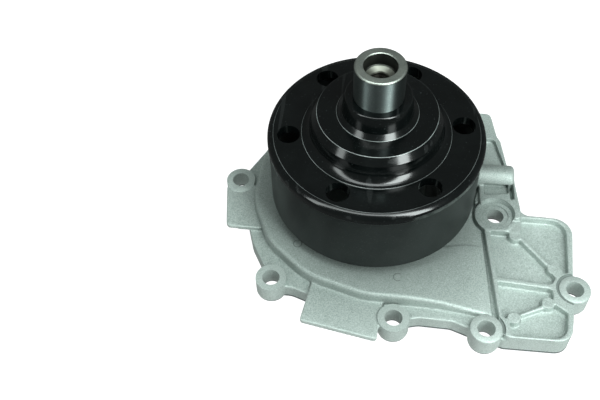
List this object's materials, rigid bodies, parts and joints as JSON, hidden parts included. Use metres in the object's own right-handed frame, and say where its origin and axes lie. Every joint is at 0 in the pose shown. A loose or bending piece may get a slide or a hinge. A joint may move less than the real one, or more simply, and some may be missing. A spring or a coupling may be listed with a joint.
{
  "type": "engine water pump",
  "caption": "Engine coolant pump: die-cast volute housing with bolting lugs, smooth bell-shaped belt pulley, thick shaft end with a threaded recess, vaned impeller and flange gasket.",
  "frame": {"origin": "on the shaft's axis, in the plane of the housing's mating face", "axes": "+Z along the shaft towards its threaded end, +X towards the outlet side of the volute, -Y towards the side with the wide lower tab"},
  "size_m": [0.1955, 0.1637, 0.1243],
  "materials": {
    "cast_aluminium": "sand-textured die casting",
    "gasket_sheet": "matt coated gasket sheet",
    "black_coat": "gloss black face, satin black rim",
    "ground_steel": "ground",
    "race_steel": "ground",
    "bright_steel": "polished",
    "pressed_steel": "as pressed",
    "cage_plastic": "moulded",
    "rubber": "moulded",
    "brass": "drawn",
    "carbon": "lapped",
    "ceramic": "lapped"
  },
  "bodies": {
    "pump_body": {"housing": "cast_aluminium", "gasket": "gasket_sheet", "bearing_sleeve": "race_steel", "bearing_rear_seal": "rubber", "bearing_front_seal": "rubber", "seal_cup": "brass", "seal_bellows": "rubber", "seal_spring": "bright_steel", "seal_carbon": "carbon"},
    "rotor": {"shaft": "ground_steel", "pulley": "black_coat", "impeller": "pressed_steel", "seal_ring": "ceramic", "seal_ring_boot": "rubber"},
    "ball_set": {"ball_cage": "cage_plastic", "ball_1": "bright_steel", "ball_2": "bright_steel", "ball_3": "bright_steel", "ball_4": "bright_steel", "ball_5": "bright_steel", "ball_6": "bright_steel", "ball_7": "bright_steel", "ball_8": "bright_steel", "ball_9": "bright_steel"},
    "roller_set": {"roller_cage": "cage_plastic", "roller_1": "bright_steel", "roller_2": "bright_steel", "roller_3": "bright_steel", "roller_4": "bright_steel", "roller_5": "bright_steel", "roller_6": "bright_steel", "roller_7": "bright_steel", "roller_8": "bright_steel", "roller_9": "bright_steel", "roller_10": "bright_steel"}
  },
  "joints": [
    {"name": "shaft_spin", "type": "hinge", "parent": "pump_body", "child": "rotor", "pos_m": [0, 0, 0], "axis": [0, 0, 1], "continuous": true},
    {"name": "ball_set_spin", "type": "hinge", "parent": "pump_body", "child": "ball_set", "pos_m": [0, 0, 0.049], "axis": [0, 0, 1], "continuous": true},
    {"name": "roller_set_spin", "type": "hinge", "parent": "pump_body", "child": "roller_set", "pos_m": [0, 0, 0.034], "axis": [0, 0, 1], "continuous": true}
  ],
  "couplings": [
    {"joint": "ball_set_spin", "follows": "shaft_spin", "ratio": 0.397},
    {"joint": "roller_set_spin", "follows": "shaft_spin", "ratio": 0.409}
  ]
}
